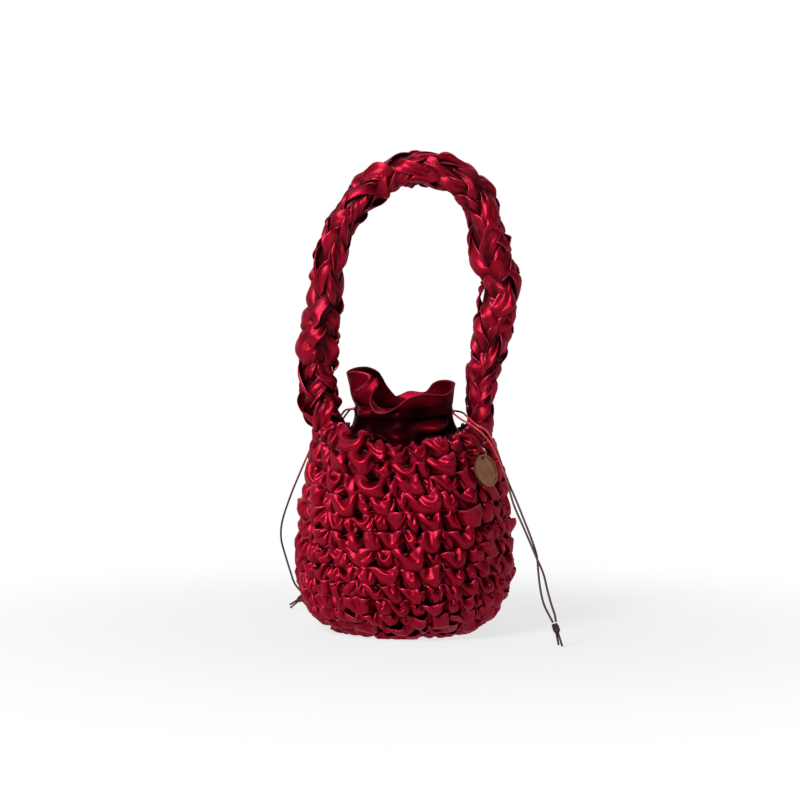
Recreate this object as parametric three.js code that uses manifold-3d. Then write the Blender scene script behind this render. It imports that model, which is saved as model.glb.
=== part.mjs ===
// Crocheted satin bucket bag with a drawstring lining, a crocheted handle and a metal charm.
// Millimetres, +Z up. The origin is the centre of the flat base, +X is the wearer's right,
// and the front of the bag faces -Y.
import * as THREE from 'three';
import { mergeVertices } from 'three/addons/utils/BufferGeometryUtils.js';
import Module from 'manifold-3d';

const wasm = await Module();
wasm.setup();

// Crochet body
const BASE_RADIUS = 32; // flat that the bag stands on
const BELLY_RADIUS = 84; // stitch crests at the widest round
const BELLY_HEIGHT = 48;
const RIM_RADIUS = 66; // stitch crests at the rim
const BODY_HEIGHT = 143.5; // rim at the front and back, below its rounded edge
const RIM_RISE = 10; // how much higher the handle holds the rim at the two sides
const RIM_EDGE = 2.5; // height of the rounded edge over the rim
const SHOULDER_RUN = 11; // the shoulder leans in by this much
const SHOULDER_DROP = 16; // over this height below the rim
const WALL = 12; // crests to inside
const FLOOR = 8; // thickness of the base
const STITCHES = 30; // in one round
const ROUNDS = 12;
const BASE_ROUNDS = 3; // flatter rounds that turn under the base
const ROUND_GROOVE = 5; // depth between two rounds
const SIDE_GROOVE = 3; // depth between two stitches of a round
const TWIST = 1; // how much one leg of a stitch stands behind the other

// Lining, collar and casing
const CLOTH = 1; // thickness of the satin, hems included
const LINING_GAP = 0.6; // lining to crochet
const SEAM_GAP = 0.3; // pieces that are sewn together
const POUCH_TOP = 0.94; // share of the wall's outline that the lining covers
const NECK_RADIUS = 36; // gathered collar inside the casing
const SHOULDER_WIDTH = 5; // from the neck out to where the collar turns level
const CASING_HEIGHT = 167; // middle of the casing
const CASING_WIDTH = 10;
const CASING_LIFT = 0.3; // share of the rim's rise that the casing follows
const CASING_FRONT = [200, 332]; // degrees from +X, anticlockwise from above
const CASING_BACK = [20, 152];
const HEADER = 10; // frill over the casing, where no lobe lifts it
const FRILL_FLARE = 4; // how far the frill leans out
const GATHERS = 10;
const GATHER_DEPTH = 1; // at the casing
const FRILL_WAVE = 2.5; // gathers at the frill's edge
// Lobes of the frill: middle and half width in degrees, rise and flare
const LOBES = [
  { at: 186, half: 52, rise: 17, flare: 5 },
  { at: 350, half: 36, rise: 7, flare: 3 },
  { at: 246, half: 24, rise: -11, flare: 3 },
];

// Handle
const HANDLE_RADIUS = 14; // stitch crests
const HANDLE_RELIEF = 2.6;
const HANDLE_RISE = 198; // rim to the middle of the arch
const HANDLE_SPREAD = 62; // middle of a foot from the bag's axis
const FOOT_HALF_LENGTH = 13; // along the rim
const FOOT_HALF_WIDTH = 9; // across the rim
const HANDLE_STITCH = 15; // length of one knit stitch
const WALES = 3; // columns of stitches round the handle
// Middle line of the arch, in shares of its spread and rise
const ARCH = [
  [-1, 0], [-1.02, 0.08], [-1.09, 0.22], [-0.98, 0.5], [-0.74, 0.81], [-0.2, 0.975],
  [0.3, 1], [0.85, 0.91], [1.08, 0.67], [1.18, 0.56], [1.09, 0.38], [0.97, 0.12], [1, 0],
];

// Drawstrings
const CORD = 1.6; // diameter
const CORD_SIDES = 6;
const RUN_SPACING = 2; // between the two cords in the casing
const RUN_END = 8; // degrees that a cord shows beyond the casing's end before it turns away
const KNOT_RADIUS = 2.8;
const KNOT_LENGTH = 8;
const TAIL = 10; // cord left beyond the knot
// Routes from the casing to the knot, chosen by eye, from the rim down to the ground
const RIGHT_BACK_ROUTE = [
  [44.5, 1, 168], [49, -13, 164.5], [55, -22, 159.5], [62.5, -25, 155], [68.5, -27, 145],
  [73.5, -30, 131], [78.5, -38, 117], [84, -46, 104], [89.5, -54.5, 90], [94.6, -62, 76.5],
  [98, -68.5, 65], [98.8, -74, 54], [100.1, -79.5, 41], [102.4, -84, 31], [106, -86.5, 23.5],
];
const RIGHT_FRONT_ROUTE = [
  [43, -23, 164], [51, -28, 159.5], [58.5, -32, 154], [64.5, -33.5, 147], [69.5, -34.5, 138],
  [75, -38, 125], [78.5, -44, 113], [82, -50.5, 101], [87.5, -58.5, 88], [92.4, -65.5, 76.5],
  [97.4, -72.5, 64.5], [102.3, -76, 53], [105.3, -80, 40.5], [107.8, -84, 31], [110.2, -86.5, 23.5],
];
const LEFT_FRONT_ROUTE = [
  [-44.5, 1, 170], [-49, 14, 165], [-54, 22.5, 159.5], [-61, 27, 155.5], [-67.5, 30.5, 148],
  [-73, 33, 138.4], [-80.4, 39, 122.3], [-90.4, 50, 98.5], [-97.8, 61, 76], [-98.8, 70, 62.2],
  [-96, 78, 48.5], [-92.5, 87, 34.4], [-89.2, 95, 23],
];
const LEFT_BACK_ROUTE = [
  [-42, 24, 169], [-48.5, 34, 160.5], [-54, 42, 152.5], [-58.5, 49, 143], [-63, 57, 127],
  [-67.5, 66, 106], [-71.5, 76, 82], [-75.5, 86, 57], [-79, 94, 35], [-81.5, 98.5, 22],
];
const RIGHT_KNOT = { at: [110.8, -88.6, 14.5], tail: [0.246, -0.108, -0.963] };
const LEFT_KNOT = { at: [-84.6, 106, 9.6], tail: [-0.68, 0.43, -0.55] };

// Charm
const CHARM_AZIMUTH = -40; // degrees from +X
const CHARM_RADIUS = 12.5;
const CHARM_PLATE = 1.2;
const CHARM_RIM = 0.5; // height of the raised rim
const CHARM_RIM_WIDTH = 1.3;
const CHARM_HOLE = 1.3; // radius
const CHARM_WEB = 1.4; // metal between the hole and the edge
const CHARM_LEAN = 5; // degrees, the charm leans on the stitches
const RING_RADIUS = 4;
const RING_WIRE = 0.55; // radius
const LOOP_RADIUS = 1.3; // strip of the stitch that holds the ring
const LOOP_SPAN = 9;
const LOOP_STANDOFF = 4.3; // strip's middle over the crests
const LOOP_ABOVE_GROOVE = 5;

const RUNNING_GAP = 0.3;
const COLUMNS_PER_STITCH = 3;
const WALL_COLUMNS = STITCHES * COLUMNS_PER_STITCH;
const radians = THREE.MathUtils.degToRad;
const { lerp, smoothstep } = THREE.MathUtils;

// A point at an angle round the bag's axis
function polar(radius, angle, height) {
  return new THREE.Vector3(radius * Math.cos(angle), radius * Math.sin(angle), height);
}

// How far the handle lifts the crochet at an angle: nothing at the front and back
function rimLift(angle, height) {
  const share = Math.pow(Math.max(height, 0) / BODY_HEIGHT, 4);
  return RIM_RISE * Math.min(share, 1) * Math.pow(Math.cos(angle) ** 2, 0.6);
}

function lifted(radius, angle, height) {
  return polar(radius, angle, height + rimLift(angle, height));
}

// Outline of the bag from the edge of its base to its rim, moved in by an offset
function outline(offset, floor) {
  const base = new THREE.Vector2(BASE_RADIUS - offset, floor);
  const belly = new THREE.Vector2(BELLY_RADIUS - offset, BELLY_HEIGHT);
  const rim = new THREE.Vector2(RIM_RADIUS - offset, BODY_HEIGHT);
  const bulge = 0.52; // near a quarter of an ellipse
  const corner = new THREE.CubicBezierCurve(
    base,
    new THREE.Vector2(lerp(base.x, belly.x, bulge), base.y),
    new THREE.Vector2(belly.x, lerp(belly.y, base.y, bulge)),
    belly,
  );
  const wall = new THREE.CubicBezierCurve(
    belly,
    new THREE.Vector2(belly.x, (belly.y + rim.y) / 2),
    new THREE.Vector2(rim.x + SHOULDER_RUN, rim.y - SHOULDER_DROP),
    rim,
  );
  const path = new THREE.CurvePath();
  path.add(corner);
  path.add(wall);
  return path;
}

// Triangles between two rings of points that run the same way, whatever their counts
function zip(first, second) {
  const triangles = [];
  let a = 0;
  let b = 0;
  while (a < first.length || b < second.length) {
    const here = first[a % first.length];
    const there = second[b % second.length];
    if (b === second.length || (a < first.length && (a + 1) / first.length <= (b + 1) / second.length)) {
      triangles.push([here, first[(a + 1) % first.length], there]);
      a += 1;
    } else {
      triangles.push([here, second[(b + 1) % second.length], there]);
      b += 1;
    }
  }
  return triangles;
}

function geometryOf(triangles) {
  const positions = triangles.flat().flatMap((point) => point.toArray());
  const geometry = new THREE.BufferGeometry();
  geometry.setAttribute('position', new THREE.Float32BufferAttribute(positions, 3));
  return geometry;
}

// Closed skin over rings, each run anticlockwise seen from the last ring, with both ends fanned to a point
function skin(rings) {
  const triangles = [];
  for (let i = 0; i + 1 < rings.length; i += 1) triangles.push(...zip(rings[i], rings[i + 1]));
  for (const [ring, turned] of [[rings[0], true], [rings[rings.length - 1], false]]) {
    const middle = ring.reduce((sum, p) => sum.add(p), new THREE.Vector3()).divideScalar(ring.length);
    ring.forEach((point, i) => {
      const next = ring[(i + 1) % ring.length];
      triangles.push(turned ? [next, point, middle] : [point, next, middle]);
    });
  }
  return geometryOf(triangles);
}

// Closed band whose section is a loop of points: the last ring joins the first
function hoop(rings) {
  return geometryOf(rings.flatMap((ring, i) => zip(ring, rings[(i + 1) % rings.length])));
}

function ringOf(count, pointAt) {
  return Array.from({ length: count }, (_, i) => pointAt((i / count) * 2 * Math.PI, i));
}

function solidOf(geometry) {
  const bare = geometry.clone();
  bare.deleteAttribute('normal');
  bare.deleteAttribute('uv');
  const merged = mergeVertices(bare, 1e-4);
  const vertProperties = new Float32Array(merged.attributes.position.array);
  const triVerts = new Uint32Array(merged.index.array);
  return new wasm.Manifold(new wasm.Mesh({ numProp: 3, vertProperties, triVerts }));
}

function geometryFrom(solid) {
  const mesh = solid.getMesh();
  const geometry = new THREE.BufferGeometry();
  geometry.setAttribute('position', new THREE.Float32BufferAttribute(mesh.vertProperties, 3));
  geometry.setIndex(new THREE.Uint32BufferAttribute(mesh.triVerts, 1));
  return geometry;
}

const satin = new THREE.MeshStandardMaterial({ color: 0x8c0a22, roughness: 0.38, metalness: 0 });
const liningSatin = new THREE.MeshStandardMaterial({ color: 0x5c0714, roughness: 0.42, metalness: 0 });
const cordFibre = new THREE.MeshStandardMaterial({ color: 0x8e1c28, roughness: 0.7, metalness: 0 });
const paleBrass = new THREE.MeshStandardMaterial({ color: 0xa98a62, roughness: 0.35, metalness: 1 });

const bag = new THREE.Group();

function add(name, geometry, material, parent = bag) {
  const mesh = new THREE.Mesh(geometry, material);
  mesh.name = name;
  parent.add(mesh);
  return mesh;
}

// Crochet body: rounds of puffed stitches, each round turned one leg of a stitch further than the last
const crests = outline(0, 0);

function crochetRing(share, reliefAt) {
  const point = crests.getPoint(share);
  const slope = crests.getTangent(share);
  return ringOf(WALL_COLUMNS, (angle, column) => {
    const depth = reliefAt(column);
    return lifted(point.x - depth * slope.y, angle, point.y + depth * slope.x);
  });
}

function crochetRounds() {
  const rings = [];
  for (let round = 0; round < ROUNDS; round += 1) {
    const leg = (column) => (column + round) % COLUMNS_PER_STITCH;
    const share = (part) => (round + part) / ROUNDS;
    if (round > 0) rings.push(crochetRing(share(0), () => ROUND_GROOVE));
    if (round < BASE_ROUNDS) {
      rings.push(crochetRing(share(0.5), (column) => [SIDE_GROOVE, 0, TWIST][leg(column)]));
    } else {
      rings.push(crochetRing(share(0.33), (column) => [SIDE_GROOVE, 0, TWIST][leg(column)]));
      rings.push(crochetRing(share(0.7), (column) => [SIDE_GROOVE, TWIST, 0][leg(column)]));
    }
  }
  return rings;
}

function insideRings(offset, floor, shares) {
  const inside = outline(offset, floor);
  return shares.map((share) => {
    const point = inside.getPoint(share);
    return ringOf(STITCHES, (angle) => lifted(point.x, angle, point.y));
  });
}

const WALL_SHARES = [0, 0.12, 0.24, 0.4, 0.7];

function crochetBody() {
  const edge = ringOf(WALL_COLUMNS, (angle, column) => {
    const dip = column % COLUMNS_PER_STITCH === 0 ? RIM_EDGE / 2 : 0;
    return lifted(RIM_RADIUS - WALL / 2, angle, BODY_HEIGHT).setZ(
      BODY_HEIGHT + RIM_EDGE - dip + rimLift(angle, BODY_HEIGHT),
    );
  });
  const inside = insideRings(WALL, FLOOR, [...WALL_SHARES, POUCH_TOP, 1]).reverse();
  const base = ringOf(STITCHES, (angle) => polar(BASE_RADIUS, angle, 0));
  return skin([base, ...crochetRounds(), edge, ...inside]);
}

// Charm's place: over the groove under the top round, with X along the round and Y out of the wall
function charmFrame() {
  const share = (ROUNDS - 1) / ROUNDS;
  const point = crests.getPoint(share);
  const slope = crests.getTangent(share);
  const angle = radians(CHARM_AZIMUTH);
  const along = new THREE.Vector3(Math.sin(angle), -Math.cos(angle), 0);
  const up = polar(slope.x, angle, slope.y);
  const out = new THREE.Vector3().crossVectors(up, along);
  const group = new THREE.Group();
  group.position.copy(lifted(point.x, angle, point.y));
  group.position.addScaledVector(up, LOOP_ABOVE_GROOVE).addScaledVector(out, LOOP_STANDOFF);
  group.quaternion.setFromRotationMatrix(new THREE.Matrix4().makeBasis(along, out, up));
  group.updateMatrix();
  return group;
}

// The stitch that the charm's ring is hooked through: a strip that stands clear of the wall
function stitchLoop(frame) {
  const half = LOOP_SPAN / 2;
  const root = -LOOP_STANDOFF - ROUND_GROOVE;
  const path = new THREE.CatmullRomCurve3([
    new THREE.Vector3(-half, root, 0),
    new THREE.Vector3(-half, -LOOP_RADIUS, 0),
    new THREE.Vector3(0, 0, 0),
    new THREE.Vector3(half, -LOOP_RADIUS, 0),
    new THREE.Vector3(half, root, 0),
  ]);
  return tube(path, LOOP_RADIUS, 6, 8).applyMatrix4(frame.matrix);
}

function tube(path, radius, sides, steps) {
  const section = new THREE.Shape(
    Array.from({ length: sides }, (_, i) => {
      const angle = (i / sides) * 2 * Math.PI;
      return new THREE.Vector2(radius * Math.cos(angle), radius * Math.sin(angle));
    }),
  );
  return new THREE.ExtrudeGeometry(section, { steps, extrudePath: path, bevelEnabled: false });
}

const charm = charmFrame();
const body = solidOf(crochetBody()).add(solidOf(stitchLoop(charm)));
add('crochet_body', geometryFrom(body), satin);

// Lining pouch: a thin bag that follows the inside of the crochet
function liningPouch() {
  const shares = [...WALL_SHARES, POUCH_TOP];
  const near = WALL + LINING_GAP;
  const outer = insideRings(near, FLOOR + LINING_GAP, shares);
  const inner = insideRings(near + CLOTH, FLOOR + LINING_GAP + CLOTH, shares).reverse();
  return skin([...outer, ...inner]);
}
add('lining_pouch', liningPouch(), liningSatin);

// Drawstring collar: from the lining's top edge in to the casing, then out into the frill
const COLLAR_COLUMNS = GATHERS * 4;
const FRILL_COLUMN = (2 * Math.PI) / COLLAR_COLUMNS;

function casingLift(angle) {
  return CASING_LIFT * rimLift(angle, BODY_HEIGHT);
}

function lobes(angle, key) {
  return LOBES.reduce((sum, lobe) => {
    const away = Math.abs(THREE.MathUtils.euclideanModulo(angle - radians(lobe.at) + Math.PI, 2 * Math.PI) - Math.PI);
    return sum + lobe[key] * (1 - smoothstep(away, 0, radians(lobe.half)));
  }, 0);
}

// Stations up the collar: radius, height, share of the rim's rise, depth of the gathers, share of the lobes
function collarStations() {
  const seam = outline(WALL + LINING_GAP + CLOTH, FLOOR).getPoint(POUCH_TOP);
  const half = CASING_WIDTH / 2 + CLOTH;
  const shoulder = lerp(BODY_HEIGHT + RIM_EDGE, CASING_HEIGHT - half, 0.1);
  const top = CASING_HEIGHT + half + HEADER;
  return [
    { radius: seam.x, height: seam.y + SEAM_GAP + CLOTH / 2, lift: (seam.y / BODY_HEIGHT) ** 4, wave: 0, lobe: 0 },
    { radius: RIM_RADIUS - WALL - LINING_GAP - CLOTH, height: BODY_HEIGHT, lift: 1, wave: 0, lobe: 0 },
    { radius: NECK_RADIUS + SHOULDER_WIDTH, height: shoulder, lift: 0.7, wave: 1.4, lobe: 0 },
    { radius: NECK_RADIUS, height: CASING_HEIGHT - half, lift: CASING_LIFT, wave: 1, lobe: 0 },
    { radius: NECK_RADIUS, height: CASING_HEIGHT + half, lift: CASING_LIFT, wave: 1, lobe: 0 },
    { radius: NECK_RADIUS + FRILL_FLARE, height: lerp(CASING_HEIGHT + half, top, 0.5), lift: CASING_LIFT, wave: 1.8, lobe: 0.55 },
    { radius: NECK_RADIUS + FRILL_FLARE, height: top, lift: CASING_LIFT, wave: FRILL_WAVE / GATHER_DEPTH, lobe: 1 },
  ];
}

function collarPoint(station, angle) {
  const wave = GATHER_DEPTH * station.wave * Math.cos(GATHERS * angle);
  const radius = station.radius + wave + station.lobe * lobes(angle, 'flare');
  const lift = station.lift * rimLift(angle, BODY_HEIGHT);
  return polar(radius, angle, station.height + lift + station.lobe * lobes(angle, 'rise'));
}

// A sheet's two faces: half its thickness either side of its middle, square to the cloth
function collarFace(stations, index, side) {
  const below = stations[Math.max(index - 1, 0)];
  const above = stations[Math.min(index + 1, stations.length - 1)];
  return ringOf(COLLAR_COLUMNS, (angle) => {
    const along = collarPoint(stations[index], angle + FRILL_COLUMN).sub(
      collarPoint(stations[index], angle - FRILL_COLUMN),
    );
    const up = collarPoint(above, angle).sub(collarPoint(below, angle));
    const out = along.cross(up).normalize();
    return collarPoint(stations[index], angle).addScaledVector(out, (side * CLOTH) / 2);
  });
}

function drawstringCollar() {
  const stations = collarStations();
  const outer = stations.map((_, i) => collarFace(stations, i, 1));
  const inner = stations.map((_, i) => collarFace(stations, i, -1)).reverse();
  return hoop([...outer, ...inner]);
}
add('drawstring_collar', drawstringCollar(), liningSatin);

// Casing strips: the outer cloth of the drawstring channel, open at its two ends
const CASING_SEAM_RADIUS = NECK_RADIUS + GATHER_DEPTH + CLOTH / 2 + SEAM_GAP;
const RUN_RADIUS = CASING_SEAM_RADIUS + CORD / 2 + SEAM_GAP;
const CASING_STEPS = 10;
const CASING_BOWS = [[0, 0], [0.15, 0.75], [0.5, 1], [0.85, 0.75], [1, 0]];

function casingSection(angle) {
  const bow = CORD + 3 * SEAM_GAP;
  const face = (seam, depth) => CASING_BOWS.map(([share, out]) => polar(
    seam + depth * out,
    angle,
    CASING_HEIGHT + CASING_WIDTH * (share - 0.5) + casingLift(angle),
  ));
  const near = face(CASING_SEAM_RADIUS, bow);
  const far = face(CASING_SEAM_RADIUS + CLOTH, bow);
  return [...far, ...near.reverse()];
}

function casingStrip([from, to]) {
  const sections = Array.from({ length: CASING_STEPS + 1 }, (_, i) =>
    casingSection(radians(lerp(from, to, i / CASING_STEPS))));
  return capped(sections);
}

// Closed skin over sections whose ends are cut flat, with each end filled point to point
function capped(sections) {
  const triangles = sections.slice(1).flatMap((section, i) => zip(section, sections[i]));
  const count = sections[0].length;
  for (const [section, turned] of [[sections[0], true], [sections[sections.length - 1], false]]) {
    for (let low = 0, high = count - 1; low + 1 < high; low += 1, high -= 1) {
      const quad = [section[low], section[low + 1], section[high - 1], section[high]];
      const halves = low + 1 === high - 1 ? [[0, 1, 3]] : [[0, 1, 2], [0, 2, 3]];
      halves.forEach((half) => {
        const corners = half.map((corner) => quad[corner]);
        triangles.push(turned ? corners : corners.reverse());
      });
    }
  }
  return geometryOf(triangles);
}
add('casing_front', casingStrip(CASING_FRONT), liningSatin);
add('casing_back', casingStrip(CASING_BACK), liningSatin);

// Handle: a knit cord with columns of V stitches, whose two feet sit on the rim
const HANDLE_COLUMNS = WALES * 3;

function handleArch() {
  const foot = BODY_HEIGHT + RIM_RISE + RIM_EDGE + SEAM_GAP;
  return new THREE.CatmullRomCurve3(
    ARCH.map(([across, up]) => new THREE.Vector3(HANDLE_SPREAD * across, 0, foot + HANDLE_RISE * up)),
    false,
    'centripetal',
  );
}

function handleSection(arch, share, length) {
  const middle = arch.getPointAt(share);
  const tangent = share === 0 || share === 1 ? new THREE.Vector3(0, 0, share ? -1 : 1) : arch.getTangentAt(share);
  const across = new THREE.Vector3(0, 1, 0);
  const out = new THREE.Vector3().crossVectors(across, tangent).normalize();
  const near = Math.min(share, 1 - share) * length;
  const round = smoothstep(near, 0, 2 * HANDLE_STITCH);
  const wide = lerp(FOOT_HALF_WIDTH, HANDLE_RADIUS, round);
  const long = lerp(FOOT_HALF_LENGTH, HANDLE_RADIUS, round);
  return ringOf(HANDLE_COLUMNS, (angle, column) => {
    const crest = column % 3 === 0 ? 0.5 : 0;
    const phase = 2 * Math.PI * ((share * length) / HANDLE_STITCH - crest);
    const relief = (HANDLE_RELIEF * round * (1 - Math.cos(phase))) / 2;
    return middle.clone()
      .addScaledVector(out, (wide - relief) * Math.cos(angle))
      .addScaledVector(across, (long - relief) * Math.sin(angle));
  });
}

function handle() {
  const arch = handleArch();
  const length = arch.getLength();
  const steps = 2 * Math.round(length / HANDLE_STITCH);
  return skin(Array.from({ length: steps + 1 }, (_, i) => handleSection(arch, i / steps, length)));
}
add('handle', handle(), satin);

// Drawstrings: each runs round the casing and comes out at its own side as two strands with one knot
function runEnd(degrees, level) {
  const angle = radians(degrees);
  return polar(RUN_RADIUS, angle, CASING_HEIGHT + level + casingLift(angle));
}

const STRAND_STEPS = 15;
const RUN_STEPS = 18;

function casingRun(from, to, level) {
  const points = Array.from({ length: RUN_STEPS + 1 }, (_, i) => runEnd(lerp(from, to, i / RUN_STEPS), level));
  return tube(new THREE.CatmullRomCurve3(points), CORD / 2, 6, RUN_STEPS);
}

// Where a strand meets its knot: two strands side by side at the knot's top
function knotTop(knot, side) {
  const axis = new THREE.Vector3(...knot.tail).normalize();
  const beside = new THREE.Vector3().crossVectors(axis, new THREE.Vector3(0, 1, 0)).normalize();
  return new THREE.Vector3(...knot.at)
    .addScaledVector(axis, -KNOT_LENGTH / 2 - SEAM_GAP)
    .addScaledVector(beside, side * (CORD / 2 + SEAM_GAP));
}

function strand(start, turn, route, end) {
  const heading = new THREE.Vector3(route[0][0], route[0][1], route[0][2]).sub(start).normalize();
  const leave = start.clone().addScaledVector(heading, turn);
  const points = [leave, ...route.map((point) => new THREE.Vector3(...point)), end];
  return tube(new THREE.CatmullRomCurve3(points, false, 'centripetal'), CORD / 2, CORD_SIDES, STRAND_STEPS);
}

// Knot and its tail, turned about the way the tail points
function knotAndTail(knot) {
  const half = KNOT_LENGTH / 2;
  const tail = CORD / 2;
  const profile = [
    [0, half], [0.6 * KNOT_RADIUS, 0.9 * half], [KNOT_RADIUS, 0.4 * half], [KNOT_RADIUS, -0.3 * half],
    [0.6 * KNOT_RADIUS, -0.85 * half], [tail, -half], [tail, -half - TAIL], [0, -half - TAIL],
  ];
  const points = profile.map(([radius, height]) => new THREE.Vector2(radius, height)).reverse();
  const geometry = new THREE.LatheGeometry(points, 8);
  const axis = new THREE.Vector3(...knot.tail).normalize().negate();
  geometry.applyQuaternion(new THREE.Quaternion().setFromUnitVectors(new THREE.Vector3(0, 1, 0), axis));
  return geometry.translate(...knot.at);
}

const level = RUN_SPACING / 2;
const clear = CORD / 2 + 2 * SEAM_GAP;
const frontLeft = CASING_FRONT[0] - RUN_END;
const frontRight = CASING_FRONT[1] + RUN_END;
const backRight = CASING_BACK[0] - RUN_END;
const backLeft = CASING_BACK[1] + RUN_END;

add('right_cord_casing_run', casingRun(frontRight, backRight, -level), cordFibre);
add('right_cord_back_strand', strand(runEnd(backRight, -level), clear, RIGHT_BACK_ROUTE, knotTop(RIGHT_KNOT, -1)), cordFibre);
add('right_cord_front_strand', strand(runEnd(frontRight, -level), clear, RIGHT_FRONT_ROUTE, knotTop(RIGHT_KNOT, 1)), cordFibre);
add('right_cord_knot', knotAndTail(RIGHT_KNOT), cordFibre);
add('left_cord_casing_run', casingRun(backLeft, frontLeft - 360, level), cordFibre);
add('left_cord_front_strand', strand(runEnd(frontLeft, level), clear, LEFT_FRONT_ROUTE, knotTop(LEFT_KNOT, -1)), cordFibre);
add('left_cord_back_strand', strand(runEnd(backLeft, level), clear, LEFT_BACK_ROUTE, knotTop(LEFT_KNOT, 1)), cordFibre);
add('left_cord_knot', knotAndTail(LEFT_KNOT), cordFibre);

// Charm: a jump ring through the stitch loop, and a disc with a raised rim on the ring
const RING_DROP = RING_RADIUS - RING_WIRE - LOOP_RADIUS - RUNNING_GAP;
const HOLE_INSET = CHARM_WEB + CHARM_HOLE;

function jumpRing() {
  return new THREE.TorusGeometry(RING_RADIUS, RING_WIRE, 6, 16).rotateY(Math.PI / 2);
}

function charmDisc() {
  const half = CHARM_PLATE / 2;
  const flat = CHARM_RADIUS - CHARM_RIM_WIDTH;
  const profile = [
    [0, -half], [CHARM_RADIUS, -half], [CHARM_RADIUS, half + CHARM_RIM],
    [flat, half + CHARM_RIM], [flat, half], [0, half],
  ];
  const plate = new THREE.LatheGeometry(profile.map(([radius, height]) => new THREE.Vector2(radius, height)), 24);
  const drill = new THREE.CylinderGeometry(CHARM_HOLE, CHARM_HOLE, 4 * CHARM_PLATE, 12);
  drill.translate(0, 0, CHARM_RADIUS - HOLE_INSET);
  return geometryFrom(solidOf(plate).subtract(solidOf(drill)));
}

charm.rotateX(-radians(CHARM_LEAN));
const ring = add('charm_ring', jumpRing(), paleBrass, charm);
ring.position.z = -RING_DROP;
const disc = add('charm_disc', charmDisc(), paleBrass, charm);
disc.position.z = ring.position.z - RING_RADIUS - (CHARM_RADIUS - HOLE_INSET);
bag.add(charm);

export default bag;
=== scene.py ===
"""Looks of a drawstring bucket bag crocheted from glossy satin strip.

Shapes are worked out in millimetres in the CAD frame: +Z up, the front facing -Y.
"""
import math
from types import SimpleNamespace

import bpy
import numpy as np
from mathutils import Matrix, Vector


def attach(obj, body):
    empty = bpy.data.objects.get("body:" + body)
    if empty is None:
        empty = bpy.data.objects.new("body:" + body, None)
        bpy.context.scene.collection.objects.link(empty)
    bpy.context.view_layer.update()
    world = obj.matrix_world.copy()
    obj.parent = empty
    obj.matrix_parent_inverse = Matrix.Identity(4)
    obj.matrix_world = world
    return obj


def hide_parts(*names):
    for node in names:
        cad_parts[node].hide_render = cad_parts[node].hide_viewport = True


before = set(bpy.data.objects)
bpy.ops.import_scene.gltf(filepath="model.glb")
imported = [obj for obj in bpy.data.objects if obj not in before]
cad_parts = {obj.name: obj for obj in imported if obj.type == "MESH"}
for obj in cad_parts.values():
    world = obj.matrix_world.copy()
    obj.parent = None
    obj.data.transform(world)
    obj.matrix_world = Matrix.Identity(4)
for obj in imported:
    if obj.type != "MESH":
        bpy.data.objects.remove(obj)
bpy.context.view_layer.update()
rng = np.random.default_rng(20)
MM = 0.001
TURN = 2 * math.pi
UP = np.array((0, 0, 1))
LEVEL = np.array((1, 1, 0))
TINY = 1e-9

# Sizes shared with the CAD model
BASE_RADIUS = 32
BELLY_RADIUS = 84
BELLY_HEIGHT = 48
RIM_RADIUS = 66
BODY_HEIGHT = 143.5
RIM_RISE = 10
WALL = 12
FLOOR = 8
CASING_HEIGHT = 167
CASING_WIDTH = 10
CASING_LIFT = 0.3
HANDLE_FOOT = 156.3
HANDLE_RISE = 198
HANDLE_SPREAD = 62
HANDLE_STITCH = 15
WALES = 3
CORD = 1.6
RUN_RADIUS = 38.9
KNOT_RADIUS = 2.8
KNOT_LENGTH = 8
TAIL = 10
CHARM_LOOP = np.array((57.365, -48.135, 141.665))
CHARM_RING = np.array((57.768, -48.473, 139.891))
CHARM_DISC = np.array((60.771, -50.993, 126.659))
CHARM_ALONG = np.array((-0.6428, -0.766, 0))
CHARM_OUT = np.array((0.7345, -0.6163, 0.2841))
CHARM_UP = np.array((-0.2176, 0.1826, 0.9588))
CHARM_RADIUS = 12.5
RING_RADIUS = 4
RING_WIRE = 1.1


# Curves and grids

def polar(radius, angle, height):
    radius, angle, height = np.broadcast_arrays(radius, angle, height)
    return np.stack([radius * np.cos(angle), radius * np.sin(angle), height], -1)


def unit(vectors):
    return vectors / (np.linalg.norm(vectors, axis=-1, keepdims=True) + 1e-12)


def bezier(points, count):
    t = np.linspace(0, 1, count)[:, None]
    a, b, c, d = (np.array(point, float) for point in points)
    return (1 - t) ** 3 * a + 3 * t * (1 - t) ** 2 * b + 3 * t ** 2 * (1 - t) * c + t ** 3 * d


def centripetal(points, steps, closed=False):
    """Smooth line through the points, each span cut into steps."""
    points = np.array(points, float)
    if closed:
        ends = points[-1:], points[:2]
    else:
        ends = 2 * points[:1] - points[1:2], 2 * points[-1:] - points[-2:-1]
    p = np.vstack([ends[0], points, ends[1]])
    knots = np.linalg.norm(np.diff(p, axis=0), axis=1)[:, None] ** 0.5
    t = np.linspace(0, 1, steps, endpoint=False)[:, None]
    line = []
    for i in range(1, len(p) - 2):
        before, here, after = knots[i - 1], knots[i], knots[i + 1]
        step = p[i + 1] - p[i]
        leave = (p[i] - p[i - 1]) / before - (p[i + 1] - p[i - 1]) / (before + here) + step / here
        arrive = step / here - (p[i + 2] - p[i]) / (here + after) + (p[i + 2] - p[i + 1]) / after
        leave, arrive = leave * here, arrive * here
        bend = 2 * p[i] - 2 * p[i + 1] + leave + arrive
        ease = -3 * p[i] + 3 * p[i + 1] - 2 * leave - arrive
        line.append(bend * t ** 3 + ease * t ** 2 + leave * t + p[i])
    if not closed:
        line.append(points[-1:])
    return np.vstack(line)


def lengths_along(line):
    return np.concatenate([[0], np.cumsum(np.linalg.norm(np.diff(line, axis=0), axis=1))])


def sample(at, places, values):
    """Rows of values read at places along a table, straight between its rows."""
    return np.stack([np.interp(at, places, column) for column in values.T], -1)


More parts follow.
